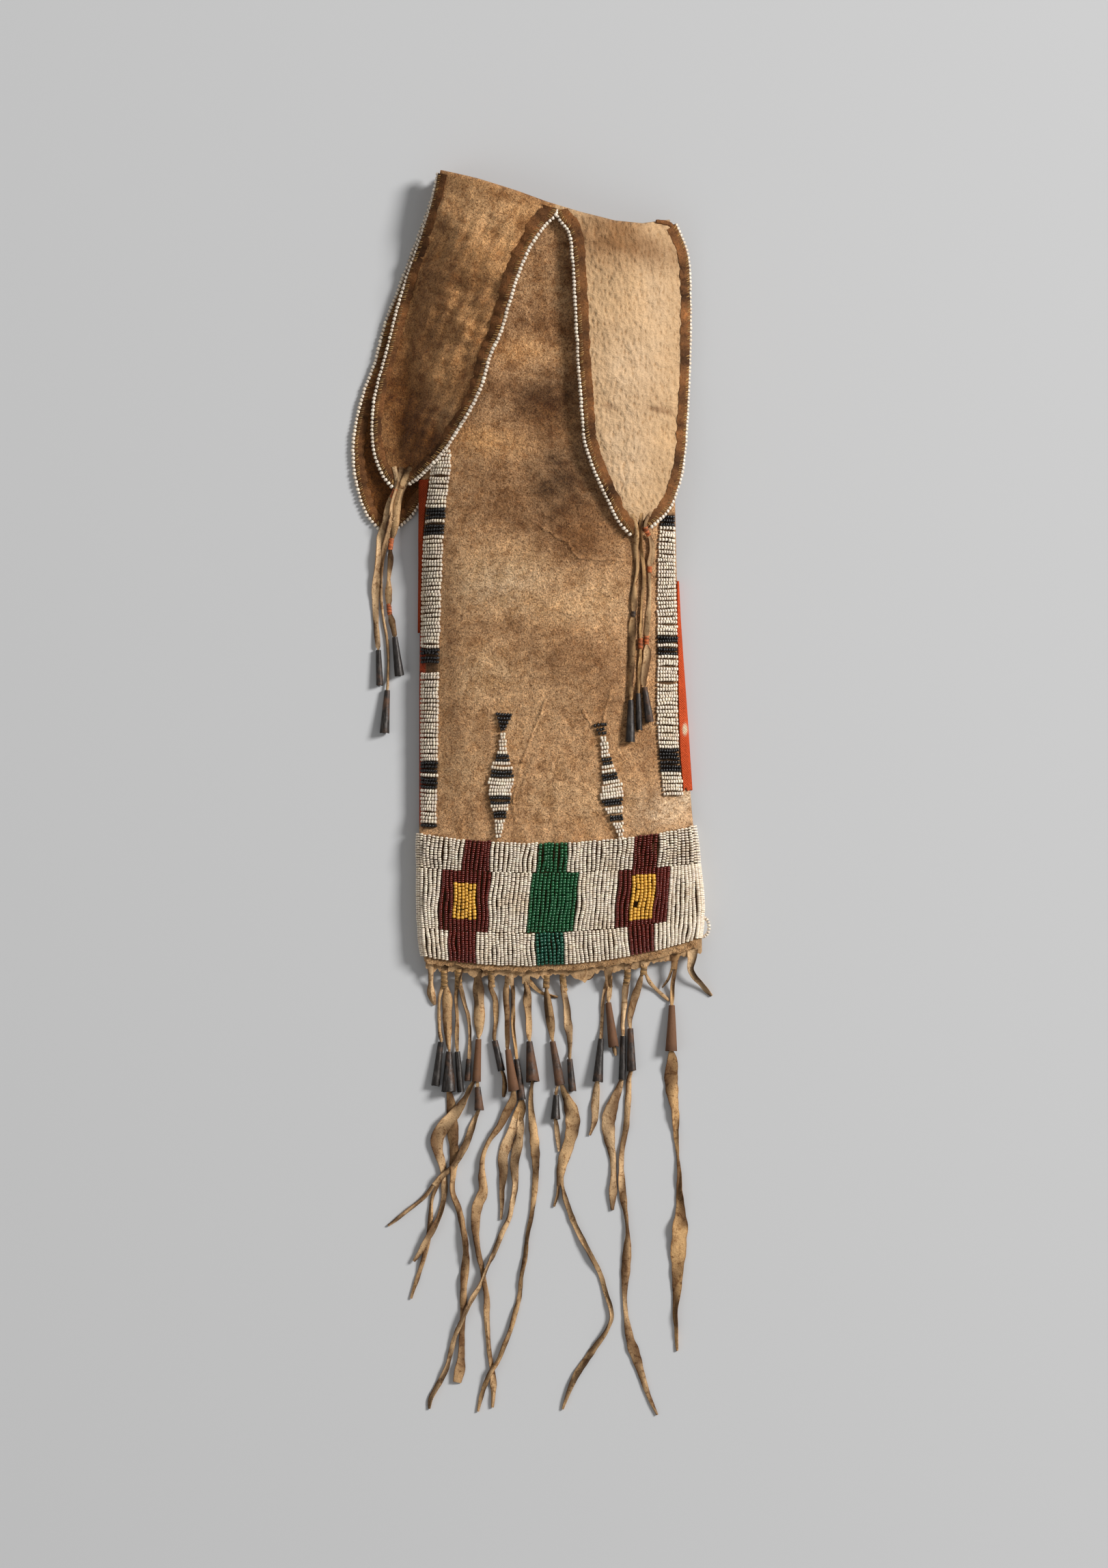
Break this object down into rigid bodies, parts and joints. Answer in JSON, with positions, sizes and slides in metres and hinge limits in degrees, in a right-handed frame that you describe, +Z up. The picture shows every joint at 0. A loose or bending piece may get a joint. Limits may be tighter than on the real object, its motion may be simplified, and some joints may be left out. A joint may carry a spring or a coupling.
{
  "type": "pipe bag",
  "caption": "Long flat hide pouch with a beaded lower panel, beaded side strips, a mouth turned out into pointed tabs, and a hide fringe with rolled tin cones.",
  "frame": {"origin": "middle of the flat of the back, on the floor the bag lies on", "axes": "+Z up off the floor and out of the beaded face, +Y along the bag toward its mouth, +X to the right seen from above"},
  "size_m": [0.2049, 0.7037, 0.0334],
  "materials": {
    "hide": "suede, stained and creased",
    "fringe_hide": "soft cut thongs, speckled",
    "red_cloth": "coarse plain weave",
    "ribbon": "dull woven ribbon",
    "white_bead": "gloss, opaque",
    "oxblood_bead": "gloss, opaque",
    "green_bead": "gloss, opaque",
    "yellow_bead": "gloss, opaque",
    "tin": "dull rolled tin, rusted"
  },
  "bodies": {
    "root": {"front_hide": "hide", "back_hide": "hide", "left_gusset": "red_cloth", "right_gusset": "red_cloth", "left_front_binding": "ribbon", "left_front_edging": "white_bead", "left_back_binding": "ribbon", "left_back_edging": "white_bead", "right_front_binding": "ribbon", "right_front_edging": "white_bead", "right_back_binding": "ribbon", "right_back_edging": "white_bead", "left_bead_strip": "white_bead", "left_bead_figure": "white_bead", "right_bead_strip": "white_bead", "right_bead_figure": "white_bead", "upper_lane": "white_bead", "upper_maroon_left": "oxblood_bead", "upper_green": "green_bead", "upper_maroon_right": "oxblood_bead", "middle_lane": "white_bead", "middle_maroon_left": "oxblood_bead", "middle_green": "green_bead", "middle_maroon_right": "oxblood_bead", "lower_lane": "white_bead", "lower_maroon_left": "oxblood_bead", "lower_green": "green_bead", "lower_maroon_right": "oxblood_bead", "middle_yellow_left": "yellow_bead", "middle_yellow_right": "yellow_bead", "fringe": "fringe_hide", "fringe_cone_01": "tin", "fringe_cone_02": "tin", "fringe_cone_03": "tin", "fringe_cone_04": "tin", "fringe_cone_05": "tin", "fringe_cone_06": "tin", "fringe_cone_07": "tin", "fringe_cone_08": "tin", "fringe_cone_09": "tin", "fringe_cone_10": "tin", "fringe_cone_11": "tin", "fringe_cone_12": "tin", "fringe_cone_13": "tin", "fringe_cone_14": "tin", "fringe_cone_15": "tin", "fringe_cone_16": "tin", "fringe_cone_17": "tin", "fringe_cone_18": "tin", "left_tab_cone_01": "tin", "left_tab_cone_02": "tin", "left_tab_cone_03": "tin", "right_tab_cone_01": "tin", "right_tab_cone_02": "tin", "right_tab_cone_03": "tin"}
  },
  "joints": []
}
